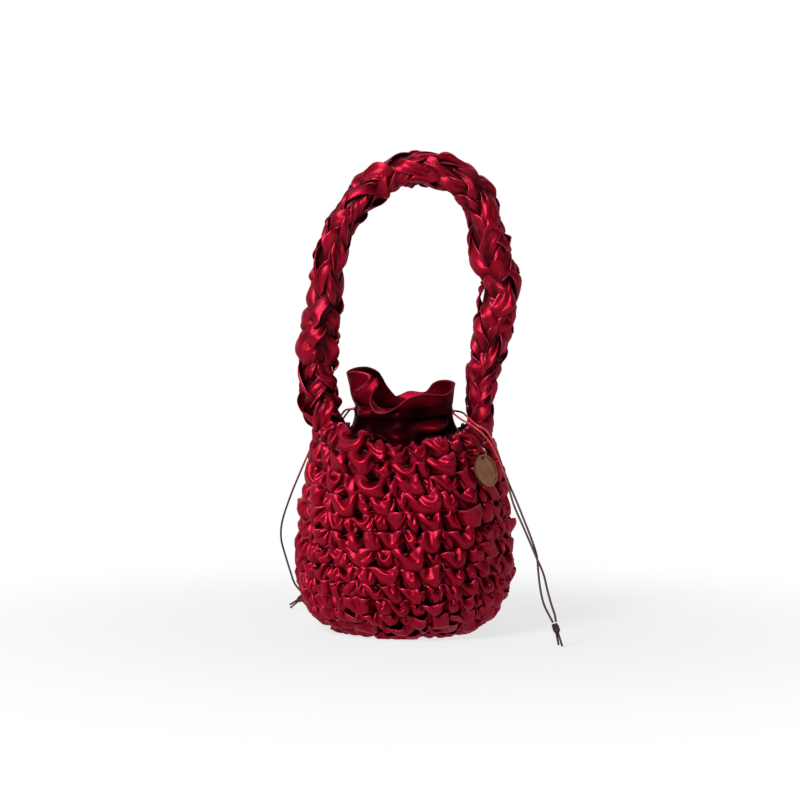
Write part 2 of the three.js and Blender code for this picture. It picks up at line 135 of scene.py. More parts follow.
def smoothstep(x, low, high):
    t = np.clip((x - low) / (high - low), 0, 1)
    return t * t * (3 - 2 * t)


def facing(grid):
    """Normals of a grid whose columns close into a loop."""
    across = np.roll(grid, -1, 1) - np.roll(grid, 1, 1)
    return unit(np.cross(across, np.gradient(grid, axis=0)))


def shell(grid, half):
    """Both faces of a cloth as one closed grid."""
    normals = facing(grid)
    return np.concatenate([grid + half * normals, (grid - half * normals)[::-1]])


def ripple(angle, waves, share):
    """Uneven folds round the bag: a sum of seeded waves, at most about 1."""
    total = 0
    for count in waves:
        size, phase, drift = rng.uniform(0.6, 1), rng.uniform(0, TURN), rng.uniform(-1, 1)
        total = total + size * np.sin(count * angle + phase + share * drift)
    return total / len(waves)


# Pieces

STRIP_MAP = "strip"


def strip_uv(grid, rows):
    """UV of the corners of each quad, in centimetres round the grid and up its rows."""
    width = np.linalg.norm(np.roll(grid, -1, 1) - grid, axis=2).mean() / 10
    height = np.linalg.norm(np.diff(grid, axis=0), axis=2).mean() / 10
    row, column = np.mgrid[:rows, :grid.shape[1]]
    corners = [(0, 0), (1, 0), (1, 1), (0, 1)]
    uv = np.stack([np.stack([(column + i) * width, (row + j) * height], -1) for i, j in corners], 2)
    return uv.reshape(-1, 4, 2)


def inside_out(points, quads):
    a, b, c, d = (points[quads[:, corner]] for corner in range(4))
    return np.sum(a * np.cross(b - a, c - a) + a * np.cross(c - a, d - a)) < 0


class Cloth:
    """Closed grids gathered into one mesh, with a UV map, a weight for the hems' paler colour, partly a
    painted highlight, and one for painted light, low where shade is painted.
    """

    def __init__(self):
        self.points = []
        self.faces = []
        self.uvs = []
        self.hems = []
        self.painted_lights = []
        self.count = 0

    def add(self, grid, hem=0.0, open_to_light=1.0, loop_rows=False):
        """The columns close into a loop. The rows close too, or end in flat caps."""
        # hem weighs the hems' paler colour, partly a painted highlight; the other weight is painted light,
        # below 1 where shade is painted.
        rows, columns = grid.shape[:2]
        points = grid.reshape(-1, 3)
        index = self.count + np.arange(len(points)).reshape(rows, columns)
        below = index if loop_rows else index[:-1]
        above = np.roll(index, -1, 0) if loop_rows else index[1:]
        quads = np.stack([below, np.roll(below, -1, 1), np.roll(above, -1, 1), above], -1).reshape(-1, 4)
        order = -1 if inside_out(points, quads - self.count) else 1
        self.points.append(points)
        self.faces += quads[:, ::order].tolist()
        self.uvs.append(strip_uv(grid, len(below))[:, ::order].reshape(-1, 2))
        if not loop_rows:
            self.faces += [index[0, ::-order].tolist(), index[-1, ::order].tolist()]
            self.uvs.append(np.zeros((2 * columns, 2)))
        self.hems.append(np.broadcast_to(hem, (rows, columns)).ravel())
        self.painted_lights.append(np.broadcast_to(open_to_light, (rows, columns)).ravel())
        self.count += len(points)

    def piece(self, name, material, slot, *nodes):
        mesh = bpy.data.meshes.new(name)
        mesh.from_pydata((np.vstack(self.points) * MM).tolist(), [], self.faces)
        mesh.uv_layers.new(name=STRIP_MAP).data.foreach_set("uv", np.vstack(self.uvs).ravel())
        for key, values in (("hem", self.hems), ("painted_light", self.painted_lights)):
            mesh.attributes.new(key, "FLOAT", "POINT").data.foreach_set("value", np.concatenate(values))
        mesh.shade_smooth()
        return dress(name, mesh, material, "bag", slot, *nodes)


def tube(name, lines, radius, material, body, slot, *nodes):
    """A round cord along each line of points. A line that ends where it starts closes."""
    curve = bpy.data.curves.new(name, "CURVE")
    curve.dimensions = "3D"
    curve.bevel_depth = radius * MM
    curve.bevel_resolution = 4
    curve.use_fill_caps = True
    for line in lines:
        closed = np.allclose(line[0], line[-1])
        points = line[:-1] if closed else line
        spline = curve.splines.new("POLY")
        spline.points.add(len(points) - 1)
        spline.points.foreach_set("co", np.hstack([points * MM, np.ones((len(points), 1))]).ravel())
        spline.use_cyclic_u = closed
        spline.use_smooth = True
    return dress(name, curve, material, body, slot, *nodes)


def dress(name, data, material, body, slot, *nodes):
    """A piece of the object: its material, its body and the CAD nodes it stands for. The slot is not used.
    """
    piece = bpy.data.objects.new(name, data)
    bpy.context.scene.collection.objects.link(piece)
    data.materials.append(material)
    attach(piece, body)
    if nodes:
        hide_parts(*nodes)
    return piece


# Materials

THREADS = (2, 70, 1)  # threads of the satin along and across the strip, in a centimetre
SATIN_METAL = 0.65  # share of the sheen that has the dye's colour
SATIN_GRAIN = 0.6  # how far the sheen is drawn out by the threads
SHEEN_TINT = (1, 0.45, 0.6, 1)
CORD_FADE = (0.105, 0.14)  # heights in metres between which the cords turn from dark to red
BRUSHED = (400, 400, 6000)  # lines of the brushed metal in a metre


def blank_material(name):
    material = bpy.data.materials.new(name)
    material.use_nodes = True
    tree = material.node_tree
    return material, tree, tree.nodes["Principled BSDF"]


def plug(tree, socket, value):
    """Links a socket to another one, or gives it a value."""
    if isinstance(value, bpy.types.NodeSocket):
        tree.links.new(value, socket)
    else:
        socket.default_value = value


def wire(tree, node, **inputs):
    """Plugs inputs that are named as in the node, with _ for a space."""
    for key, value in inputs.items():
        plug(tree, node.inputs[key.replace("_", " ")], value)
    return node


def add_node(tree, kind, **inputs):
    return wire(tree, tree.nodes.new(kind), **inputs)


def attribute(tree, name):
    node = tree.nodes.new("ShaderNodeAttribute")
    node.attribute_name = name
    return node.outputs["Fac"]


def colour_mix(tree, factor, first, second):
    mix = tree.nodes.new("ShaderNodeMix")
    mix.data_type = "RGBA"
    plug(tree, mix.inputs[0], factor)
    for socket, colour in ((mix.inputs[6], first), (mix.inputs[7], second)):
        plug(tree, socket, (*colour, 1) if isinstance(colour, tuple) else colour)
    return mix.outputs[2]


def calculate(tree, operation, first, second):
    node = tree.nodes.new("ShaderNodeMath")
    node.operation = operation
    plug(tree, node.inputs[0], first)
    plug(tree, node.inputs[1], second)
    return node


def satin(name, deep, dark, bright, hem, roughness, shine):
    """Satin with fine threads along it and dye of uneven tone, with shade painted darker into the folds and
    a paler hem colour that is partly the cut edge's own and partly a painted highlight.
    """
    material, tree, shader = blank_material(name)
    strip = add_node(tree, "ShaderNodeUVMap")
    strip.uv_map = STRIP_MAP
    threads = add_node(tree, "ShaderNodeMapping", Vector=strip.outputs["UV"], Scale=THREADS)
    thread = add_node(tree, "ShaderNodeTexNoise", Vector=threads.outputs["Vector"], Scale=1.0, Detail=2.0)
    place = add_node(tree, "ShaderNodeTexCoord")
    patch = add_node(tree, "ShaderNodeTexNoise", Vector=place.outputs["Object"], Scale=70.0, Detail=3.0)
    dye = colour_mix(tree, patch.outputs["Fac"], dark, bright)
    # painted shade: the deep colour takes over where the painted-light weight is low, in folds and low on
    # the strip
    shaded = colour_mix(tree, attribute(tree, "painted_light"), deep, dye)
    # the hem colour on the strip's edges: partly the cut edge's own paler colour, partly a painted
    # highlight of light on the rolled edge
    colour = colour_mix(tree, attribute(tree, "hem"), shaded, hem)
    smooth, rough = roughness - 0.06, roughness + 0.08
    gloss = add_node(tree, "ShaderNodeMapRange", Value=thread.outputs["Fac"], To_Min=smooth, To_Max=rough)
    bump = add_node(tree, "ShaderNodeBump", Height=thread.outputs["Fac"], Strength=0.12, Distance=0.0002)
    tangent = add_node(tree, "ShaderNodeTangent")
    tangent.direction_type = "UV_MAP"
    tangent.uv_map = STRIP_MAP
    wire(
        tree, shader, Base_Color=colour, Roughness=gloss.outputs["Result"], Normal=bump.outputs["Normal"],
        Tangent=tangent.outputs["Tangent"], Anisotropic=SATIN_GRAIN, Metallic=SATIN_METAL,
        Specular_IOR_Level=shine, Specular_Tint=SHEEN_TINT,
    )
    return material


def braided_cord(name, dark, bright):
    """Thin cord, red near the casing and dark lower down."""
    material, tree, shader = blank_material(name)
    place = add_node(tree, "ShaderNodeTexCoord")
    braid = add_node(tree, "ShaderNodeTexWave", Vector=place.outputs["Object"], Scale=420.0, Distortion=1.5)
    braid.bands_direction = "DIAGONAL"
    bump = add_node(tree, "ShaderNodeBump", Height=braid.outputs["Fac"], Strength=0.5, Distance=0.0002)
    parts = add_node(tree, "ShaderNodeSeparateXYZ", Vector=place.outputs["Object"])
    low, high = CORD_FADE
    upper = add_node(tree, "ShaderNodeMapRange", Value=parts.outputs["Z"], From_Min=low, From_Max=high)
    colour = colour_mix(tree, upper.outputs["Result"], dark, bright)
    wire(tree, shader, Base_Color=colour, Normal=bump.outputs["Normal"], Roughness=0.55)
    return material


def brushed_brass(name, dark, bright):
    material, tree, shader = blank_material(name)
    place = add_node(tree, "ShaderNodeTexCoord")
    lines = add_node(tree, "ShaderNodeMapping", Vector=place.outputs["Object"], Scale=BRUSHED)
    grain = add_node(tree, "ShaderNodeTexNoise", Vector=lines.outputs["Vector"], Scale=1.0, Detail=3.0)
    wear = add_node(tree, "ShaderNodeTexNoise", Vector=place.outputs["Object"], Scale=180.0, Detail=4.0)
    gloss = add_node(tree, "ShaderNodeMapRange", Value=grain.outputs["Fac"], To_Min=0.24, To_Max=0.44)
    bump = add_node(tree, "ShaderNodeBump", Height=grain.outputs["Fac"], Strength=0.08, Distance=0.0001)
    colour = colour_mix(tree, wear.outputs["Fac"], dark, bright)
    wire(
        tree, shader, Base_Color=colour, Roughness=gloss.outputs["Result"], Normal=bump.outputs["Normal"],
        Metallic=1,
    )
    return material


# deep is the painted shade colour for folds; hem is a paler edge colour, partly a painted highlight
CROCHET_SATIN = satin(
    "crochet_satin", deep=(0.035, 0.0004, 0.002), dark=(0.2, 0.0006, 0.008), bright=(0.31, 0.0016, 0.018),
    hem=(0.46, 0.018, 0.065), roughness=0.39, shine=0.4,
)
LINING_SATIN = satin(
    "lining_satin", deep=(0.006, 0.0001, 0.0004), dark=(0.09, 0.001, 0.005), bright=(0.15, 0.002, 0.009),
    hem=(0.2, 0.012, 0.025), roughness=0.42, shine=0.04,
)
CORD_FIBRE = braided_cord("cord_fibre", dark=(0.04, 0.006, 0.008), bright=(0.42, 0.02, 0.028))
BRASS = brushed_brass("charm_brass", dark=(0.16, 0.06, 0.028), bright=(0.44, 0.2, 0.105))


# Crochet body: one ruched round of strip over another, from the middle of the base to the rim

ROUNDS = 14
BASE_ROUNDS = 2
BASE_PITCH = 14.5
RIM_STANDS = 10  # how far the strip of the top round stands above the rim of the wall
SIDE_RISE = 7  # how much further it rises at the sides, into the handle
SIDE_RISE_SPAN = (BODY_HEIGHT - 25, BODY_HEIGHT + 6)
CORNER_BULGE = 0.52
SHOULDER_OUT = 11  # how far out and down from the rim the wall's curve aims
SHOULDER_DOWN = 16
FLAT_STEPS, CORNER_STEPS, WALL_STEPS, BEYOND_STEPS = 60, 90, 120, 30
SWAY = 2.2  # how far the rounds wander up and down round the bag
CALM_FOOT = (5, 40)  # ways up from the base's edge and down from the rim where that fades
CALM_RIM = (35, 5)


def crest_table():
    """Line over the crests of the stitches: its length from the base's edge, points and normals."""
    middle = BASE_RADIUS - BASE_ROUNDS * BASE_PITCH
    flat = np.stack([np.linspace(middle, BASE_RADIUS, FLAT_STEPS), np.zeros(FLAT_STEPS)], 1)
    corner = bezier([
        (BASE_RADIUS, 0), (BASE_RADIUS + CORNER_BULGE * (BELLY_RADIUS - BASE_RADIUS), 0),
        (BELLY_RADIUS, BELLY_HEIGHT - CORNER_BULGE * BELLY_HEIGHT), (BELLY_RADIUS, BELLY_HEIGHT),
    ], CORNER_STEPS)
    wall = bezier([
        (BELLY_RADIUS, BELLY_HEIGHT), (BELLY_RADIUS, (BELLY_HEIGHT + BODY_HEIGHT) / 2),
        (RIM_RADIUS + SHOULDER_OUT, BODY_HEIGHT - SHOULDER_DOWN), (RIM_RADIUS, BODY_HEIGHT),
    ], WALL_STEPS)
    beyond = wall[-1] + (wall[-1] - wall[-2]) * np.arange(1, BEYOND_STEPS + 1)[:, None]
    line = np.vstack([flat[:-1], corner[:-1], wall, beyond])
    slope = unit(np.gradient(line, axis=0))
    normals = np.stack([slope[:, 1], -slope[:, 0]], 1)
    run = lengths_along(line) - BASE_ROUNDS * BASE_PITCH
    return run, np.hstack([line, normals]), run[-BEYOND_STEPS - 1]


CREST_RUN, CREST, WALL_RUN = crest_table()


def rim_lift(angle, height):
    """How far the rim, and less so the wall below it, rises towards the sides."""
    share = np.minimum((np.maximum(height, 0) / BODY_HEIGHT) ** 4, 1)
    return RIM_RISE * share * (np.cos(angle) ** 2) ** 0.6


def sway(run, angle):
    """How far a round lies above or below its even place."""
    fade_from, fade_to = (WALL_RUN - way for way in CALM_RIM)
    calm = smoothstep(run, *CALM_FOOT) * (1 - smoothstep(run, fade_from, fade_to))
    return SWAY * calm * (np.sin(2 * angle + 0.02 * run) + 0.7 * np.sin(5 * angle - 0.03 * run + 1))


def on_crest(run, depth, angle):
    """Points on the body, by their way up from the base's edge and their height over the crests."""
    run, depth, angle = np.broadcast_arrays(run, depth, angle)
    run = run + sway(run, angle)
    radius, height, across, up = np.moveaxis(sample(run, CREST_RUN, CREST), -1, 0)
    height = height + depth * up
    height = height + SIDE_RISE * smoothstep(height, *SIDE_RISE_SPAN) * np.cos(angle) ** 2
    return polar(radius + depth * across, angle, height + rim_lift(angle, height))


# Settling of slack cloth

SWEEPS = 2
SPEED_KEPT = 0.9
EDGE_PULL = 0.5
SLANT_PULL = 0.3
FAR_SHARE = 0.25  # stiffness against wide bends, next to that against narrow ones


def pull(points, free, down, over, rest, share):
    """Draws each pair of neighbours in one direction of the grid towards its rest length."""
    rows = len(points) - down
    first_free, second_free = free[:rows], np.roll(free[down:], -over, 1)
    gap = np.roll(points[down:], -over, 1) - points[:rows]
    length = np.sqrt(np.einsum("ijk,ijk->ij", gap, gap)) + TINY
    pulled = share * (1 - rest / length) / np.maximum(first_free + second_free, TINY)
    move = gap * pulled[..., None]
    points[:rows] += move * first_free[..., None]
    points[down:] -= np.roll(move * second_free[..., None], over, 1)


def settle(points, free, across, up, steps, stiff, force, limit):
    """Slack cloth under a light force, held where free is 0."""
    slant = np.hypot(across[:-1], up)
    last = points.copy()
    weight = free[..., None]
    for _ in range(steps):
        points, last = points + SPEED_KEPT * (points - last) + weight * force(points), points
        for _ in range(SWEEPS):
            pull(points, free, 0, 1, across, EDGE_PULL)
            pull(points, free, 1, 0, up, EDGE_PULL)
            pull(points, free, 1, 1, slant, SLANT_PULL)
            pull(points, free, 1, -1, slant, SLANT_PULL)
            pull(points, free, 0, 2, 2 * across, stiff)
            pull(points, free, 2, 0, up[1:] + up[:-1], stiff)
            pull(points, free, 0, 4, 4 * across, FAR_SHARE * stiff)
        points = limit(points)
    return points


def eased(grid):
    """Takes the sharpest kinks out of a settled strip."""
    grid = (np.roll(grid, 1, 1) + 2 * grid + np.roll(grid, -1, 1)) / 4
    grid[1:-1] = (grid[2:] + 2 * grid[1:-1] + grid[:-2]) / 4
    return grid


# Rounds of strip

STITCH_WIDTH = 16
STITCH_WIDTHS = (0.65, 1.35)  # narrowest and widest, next to the mean
FEWEST_STITCHES = 8
STITCH_COLUMNS = 24
STRIP_ROWS = 22
STRIP_SHARE = np.linspace(0, 1, STRIP_ROWS)[:, None]  # share of the height at each row
BODY_STRIP = SimpleNamespace(
    tuck=0.3,  # share of a round that is tucked behind the round below
    lip=0.13,  # share that stands above the round
    dip=0.14,  # share that the lip sags in the middle of a stitch
    lean=(-0.25, -0.6),  # how far every other stitch leans over its height, in stitches
    wide=(1.3, 1.8),  # slack along the strip
    tall=(1.05, 1.25),  # slack over its height
)
RIM_STRIP = SimpleNamespace(**{**vars(BODY_STRIP), "lip": 0.2, "dip": 0.12})
PUFF_SHARES = [0, 0.12, 0.35, 0.6, 0.85, 1]
PUFF_DEPTHS = [-7.5, -4, -0.6, 0, -1.4, -4]
DEEPEST = -9.5
LIT_DEPTH = -3  # depth above which a fold gets no painted shade
LIT_SHARES = (0.05, 0.5)  # shares of its height between which the painted shade on the strip's lower part fades out
PINCH = 3.5  # how deep the strip is drawn in between two stitches
PINCH_REACH = 0.14  # how far to each side, in stitches
SINK = 2  # room under the crests for the folds that stand out
STAND = 1.1  # how unevenly the stitches stand out
SAGS = (-0.2, 1.5)  # least and greatest sag of a lip, next to the strip's dip
SAG_SKEW = 0.45
FOOT_SLACK = 0.85  # slack along the foot, next to the strip's
LIP_GAIN = 0.3  # how much more of it the lip has
TIED = 0.85  # share of the gaps between stitches that are tied down
FOOT_TIE = 0.3  # share of the height that is tied at the foot
LIP_TIE = (0.74, 0.06)  # share of the height of the upper tie, and its reach
CRUMPLE_PASSES = 10
CRUMPLE_SIZE = 0.9
STRIP_REACH = 8
STRIP_STEPS = 160
STRIP_PUSH = 0.006
STRIP_WEIGHT = 0.01
STRIP_STIFF = 0.05
HEM_THICKNESS = 0.5
HEM_WEIGHTS = (0.35, 1, 1)  # weights of the paler hem colour, partly a painted highlight, on the row below the lip, the lip and the hem behind it
HEM_IN_SHADE = 0.3  # how much of the hem's colour shows where shade is painted
BACK_DEPTH = -9
FLOOR_CLEAR = 0.1
CHARM_CLEAR = 1.6
CHARM_PRESS = (4, 12)  # how far beside and over the charm the strip gives way


def per_stitch(values):
    """One value for each stitch, at each of its columns."""
    return np.repeat(values, STITCH_COLUMNS)


def fullness(pitch):
    """How deep the folds of a round are. A low round has flat ones."""
    return min(1, 0.3 + 0.05 * pitch)


def crumple(shape):
    """Smooth seeded unevenness that the folds start from."""
    noise = rng.normal(0, 1, shape)
    for _ in range(CRUMPLE_PASSES):
        noise = (np.roll(noise, 1, 1) + noise + np.roll(noise, -1, 1)) / 3
        noise[1:-1] = (noise[2:] + noise[1:-1] + noise[:-2]) / 3
    return CRUMPLE_SIZE * noise / noise.std()


def stitch_angles(stitches):
    """Angle of each column of a round whose stitches differ in width, and its place in its stitch."""
    widths = rng.uniform(*STITCH_WIDTHS, stitches)
    edges = np.concatenate([[0], np.cumsum(widths / widths.sum())]) * TURN + rng.uniform(0, TURN)
    columns = np.arange(stitches * STITCH_COLUMNS) / STITCH_COLUMNS
    return np.interp(columns, np.arange(stitches + 1), edges), columns % 1


def laid_out(low, high, stitches, strip):
    """A round before it settles: way up, depth and angle of its points, and columns' places in a stitch."""
    angle, within = stitch_angles(stitches)
    skew = per_stitch(np.exp(rng.normal(0, SAG_SKEW, stitches)))
    sag = strip.dip * per_stitch(rng.uniform(*SAGS, stitches)) * np.sin(math.pi * within ** skew) ** 2
    rise = (1 + strip.tuck + strip.lip) * STRIP_SHARE - strip.tuck - sag * STRIP_SHARE ** 3
    pinch = np.exp(-(np.minimum(within, 1 - within) / PINCH_REACH) ** 2)
    puff = np.interp(STRIP_SHARE, PUFF_SHARES, PUFF_DEPTHS)
    stand = per_stitch(rng.normal(0, STAND, stitches)) * np.sin(math.pi * within)
    depth = fullness(high - low) * (puff - PINCH * pinch + stand * STRIP_SHARE) - SINK
    leans = np.resize(strip.lean, stitches) * TURN / stitches
    columns = np.arange(len(angle)) / STITCH_COLUMNS
    lean = np.interp(columns, np.arange(stitches + 1), np.append(leans, leans[0]))
    return low + (high - low) * rise, np.maximum(depth, DEEPEST), angle + lean * STRIP_SHARE, within


def tied_down(within):
    """0 where the strip is held at its foot or by a stitch, and 1 where it is free."""
    free = np.ones((STRIP_ROWS, len(within)))
    free[0] = 0
    tied = (within == 0) & (rng.uniform(0, 1, len(within)) < TIED)
    share, (tie, reach) = STRIP_SHARE[:, 0], LIP_TIE
    free[np.ix_((share < FOOT_TIE) | (abs(share - tie) < reach), tied)] = 0
    return free


def ruched_round(low, high, stitches, strip):
    """Front of one round: a slack strip gathered at its foot and at each stitch, with a loose lip."""
    run, depth, angle, within = laid_out(low, high, stitches, strip)
    loose = fullness(high - low) ** 2
    points = on_crest(run, depth, angle)
    slack = 1 + loose * (per_stitch(rng.uniform(*strip.wide, stitches)) - 1)
    along = FOOT_SLACK + LIP_GAIN * STRIP_SHARE
    across = np.linalg.norm(np.roll(points, -1, 1) - points, axis=2) * slack * along
    height = per_stitch(rng.uniform(*strip.tall, stitches))
    up = np.linalg.norm(np.diff(points, axis=0), axis=2) * height
    free = tied_down(within)
    points += loose * crumple(points.shape) * free[..., None]
    start = points.copy()

    def swell(at):
        return STRIP_PUSH * facing(at) + (0, 0, -STRIP_WEIGHT)

    def within_reach(at):
        away = at - start
        far = np.linalg.norm(away, axis=2, keepdims=True) + TINY
        return start + away * np.minimum(1, STRIP_REACH / far)

    points = eased(settle(points, free, across, up, STRIP_STEPS, STRIP_STIFF, swell, within_reach))
    crest, out = on_crest(run, 0, angle), on_crest(run, 1, angle)
    return points, angle[0], np.sum((points - crest) * (out - crest), axis=2)


def clear_of_charm(points):
    """Presses the strip in where it would reach the charm."""
    margin, reach = CHARM_PRESS
    away = points - CHARM_DISC
    over = away @ CHARM_OUT + CHARM_CLEAR
    beside = np.linalg.norm(away - (away @ CHARM_OUT)[..., None] * CHARM_OUT, axis=2)
    press = np.maximum(over, 0) * (1 - smoothstep(beside, CHARM_RADIUS, CHARM_RADIUS + margin))
    press = np.where(over < reach, press, 0)
    return points - press[..., None] * CHARM_OUT


def crochet_round(name, low, high, strip):
    """One round of strip, closed by its hem and a plain back."""
    radius = np.interp((low + high) / 2, CREST_RUN, CREST[:, 0])
    stitches = max(FEWEST_STITCHES, round(TURN * radius / STITCH_WIDTH))
    front, angle, depth = ruched_round(low, high, stitches, strip)
    front = clear_of_charm(front)
    normals = facing(front)
    hem, behind = (front[row] - HEM_THICKNESS * normals[row] for row in (-1, -4))
    back = [
        on_crest(low + (high - low) * share, under, angle)
        for share, under in ((0.7, BACK_DEPTH), (0.3, DEEPEST), (-strip.tuck, BACK_DEPTH))
    ]
    grid = np.concatenate([front, np.stack([hem, behind, *back])])
    grid[..., 2] = np.maximum(grid[..., 2], FLOOR_CLEAR)
    edge = np.zeros((len(grid), 1))
    edge[STRIP_ROWS - 2:STRIP_ROWS + 1, 0] = HEM_WEIGHTS
    # painted shade: dark in deep folds and low on the strip, and all dark on the hem and back rows; the hem
    # colour is dimmed there too
    lit = smoothstep(depth, DEEPEST, LIT_DEPTH) * smoothstep(STRIP_SHARE, *LIT_SHARES)
    shown = np.vstack([lit, np.zeros((len(grid) - STRIP_ROWS, len(angle)))])
    cloth = Cloth()
    cloth.add(grid, edge * np.minimum(1, shown + HEM_IN_SHADE), shown, loop_rows=True)
    return cloth.piece(name, CROCHET_SATIN, "crochet_satin", "crochet_body")


def crochet_body():
    for index in range(BASE_ROUNDS):
        low = (index - BASE_ROUNDS) * BASE_PITCH
        crochet_round(f"crochet_base_{index + 1}", low, low + BASE_PITCH, BODY_STRIP)
    edges = np.linspace(0, WALL_RUN + RIM_STANDS, ROUNDS + 1)
    for index in range(ROUNDS):
        strip = RIM_STRIP if index == ROUNDS - 1 else BODY_STRIP
        crochet_round(f"crochet_round_{index + 1:02d}", edges[index], edges[index + 1], strip)


crochet_body()


# Handle: pleated ribbons of strip that wind round it both ways, over and under each other, as a knit cord

ARCH = [
    (-0.92, 0), (-1.02, 0.08), (-1.09, 0.22), (-0.98, 0.5), (-0.74, 0.81), (-0.2, 0.975),
    (0.3, 1), (0.85, 0.91), (1.08, 0.67), (1.18, 0.56), (1.09, 0.38), (0.94, 0.12), (0.93, 0),
]
ARCH_STEPS = 16
GIRTH = [  # share of the way along, and how thick it is there
    (0, 1.05), (0.12, 1), (0.2, 0.97), (0.25, 0.84), (0.3, 0.8), (0.36, 0.8), (0.45, 0.88), (0.55, 0.94),
    (0.7, 1), (0.82, 1.05), (0.88, 0.88), (0.94, 0.8), (1, 0.82),
]
FOOT_WIDE = 0.84
FOOT_LONG = 0.95
FOOT_DROP = 9  # how far the lowest stitches reach down over the rim
CORE_RADIUS = 11
CORE_ROWS, CORE_COLUMNS = 160, 24
# painted light on the handle's core, which is painted almost all in shade
CORE_LIT = 0.1
WAYS = 2 * WALES  # ribbons that wind round the handle one way, with as many the other way
WIND = 135  # way along the handle in one turn of a ribbon
RIBBON_MIDDLE = 11
RIBBON_CROSS = 2.1  # how far a ribbon goes over and under the others
RIBBON_BULGE = 1.2
RIBBON_LOOSE = 1.3  # how far the loosest stretches stand out further
RIBBON_HALF = 5.6  # half width where a ribbon shows
HIDDEN_HALF = 2.4  # half width where it is gathered under the others
RIBBON_STEP = 2
RIBBON_COLUMNS = 19
RIBBON_CLOTH = 0.5
RIBBON_LIT = (9.5, 15.5)  # distances from the middle between which the painted shade on a ribbon fades out
PLEAT_DEPTH = 2.4
# fold heights between which the painted shade in a ribbon's creases fades out
FOLD_LIT = (-2, 0.3)
EDGE_CURL = 3.4
EDGE_LIFT = 1.6


def handle_table():
    """Line of the arch: its length, points, and the way out of the loop in its plane."""
    shape = [(HANDLE_SPREAD * across, 0, HANDLE_FOOT + HANDLE_RISE * up) for across, up in ARCH]
    line = centripetal(shape, ARCH_STEPS)
    tangent = unit(np.gradient(line, axis=0))
    tangent[[0, -1]] = UP, -UP
    out = unit(np.cross((0, 1, 0), tangent))
    return lengths_along(line), np.hstack([line, out])


HANDLE_RUN, HANDLE_LINE = handle_table()
HANDLE_LENGTH = HANDLE_RUN[-1]


def on_handle(run, angle, radius):
    """Points on the handle, by their way along it, the angle round it and the distance from its middle."""
    run, angle, radius = np.broadcast_arrays(run, angle, radius)
    inside = np.clip(run, 0, HANDLE_LENGTH)
    frame_at = sample(inside, HANDLE_RUN, HANDLE_LINE)
    radius = radius * np.interp(inside / HANDLE_LENGTH, *np.transpose(GIRTH))
    rounded = smoothstep(np.minimum(run, HANDLE_LENGTH - run), 0, 2 * HANDLE_STITCH)
    wide = radius * (FOOT_WIDE + (1 - FOOT_WIDE) * rounded) * np.cos(angle)
    long = radius * (FOOT_LONG + (1 - FOOT_LONG) * rounded) * np.sin(angle)
    middle = frame_at[..., :3] - np.abs(run - inside)[..., None] * UP
    return middle + wide[..., None] * frame_at[..., 3:] + long[..., None] * np.array((0, 1, 0))


def wander(run, knot):
    """Seeded values between -1 and 1 that change smoothly along a ribbon, a new one at each knot."""
    values = rng.uniform(-1, 1, int(np.ptp(run) / knot) + 3)
    at = (run - run.min()) / knot
    first = at.astype(int)
    return values[first] + (values[first + 1] - values[first]) * smoothstep(at - first, 0, 1)


def zigzag(x):
    return 2 / math.pi * np.arcsin(0.96 * np.sin(math.pi * x))


def ribbon_folds(run, w):
    """A few broad pleats and more narrow creases across a ribbon. Both change along it."""
    pleat = zigzag(w * (0.9 + 0.4 * wander(run, 30)) + 1.5 * wander(run, 22))
    crease = zigzag(w * (2.2 + 0.8 * wander(run, 30)) + 1.5 * wander(run, 18))
    return (0.5 + 0.7 * wander(run, 13)) * pleat + 0.9 * wander(run, 13) * crease


def wound_ribbon(way, index):
    """Grid of one pleated ribbon in flat space: x along the handle, y round it, z out from its middle."""
    run = np.arange(-FOOT_DROP, HANDLE_LENGTH + FOOT_DROP, RIBBON_STEP)[:, None]
    w = np.linspace(-1, 1, RIBBON_COLUMNS)[None]
    middle = 0.5 - 2 * index if way > 0 else 1.5 + 2 * index
    over = np.cos((run * 2 * WAYS / WIND - middle + 0.5 * wander(run, 35)) * math.pi / 2)
    shown = smoothstep(over, -0.9, 0.6)
    half = HIDDEN_HALF + (RIBBON_HALF * (1 + 0.3 * wander(run, 22)) - HIDDEN_HALF) * shown
    slope = way * math.atan(TURN * RIBBON_MIDDLE / WIND)
    fold = PLEAT_DEPTH * (1 - 0.3 * shown) * ribbon_folds(run, w)
    across = w * half + 1.5 * wander(run, 16) * fold + 4 * wander(run, 26)
    edges = shown * (EDGE_CURL * wander(run, 14) * w + EDGE_LIFT * wander(run, 14) * w ** 2)
    loose = RIBBON_LOOSE * smoothstep(wander(run, 24), 0.5, 0.95)
    out = RIBBON_MIDDLE + RIBBON_CROSS * over + shown * (RIBBON_BULGE * (1 + wander(run, 20)) + loose)
    turn = way * TURN * run / WIND + TURN * index / WAYS
    x = run - across * math.sin(slope)
    y = turn * RIBBON_MIDDLE + across * math.cos(slope)
    grid = np.stack(np.broadcast_arrays(x, y, out + fold + edges), -1)
    # the second value is painted light: shade painted where the ribbon goes under the others and in its
    # creases
    return grid, shown * smoothstep(fold, *FOLD_LIT)


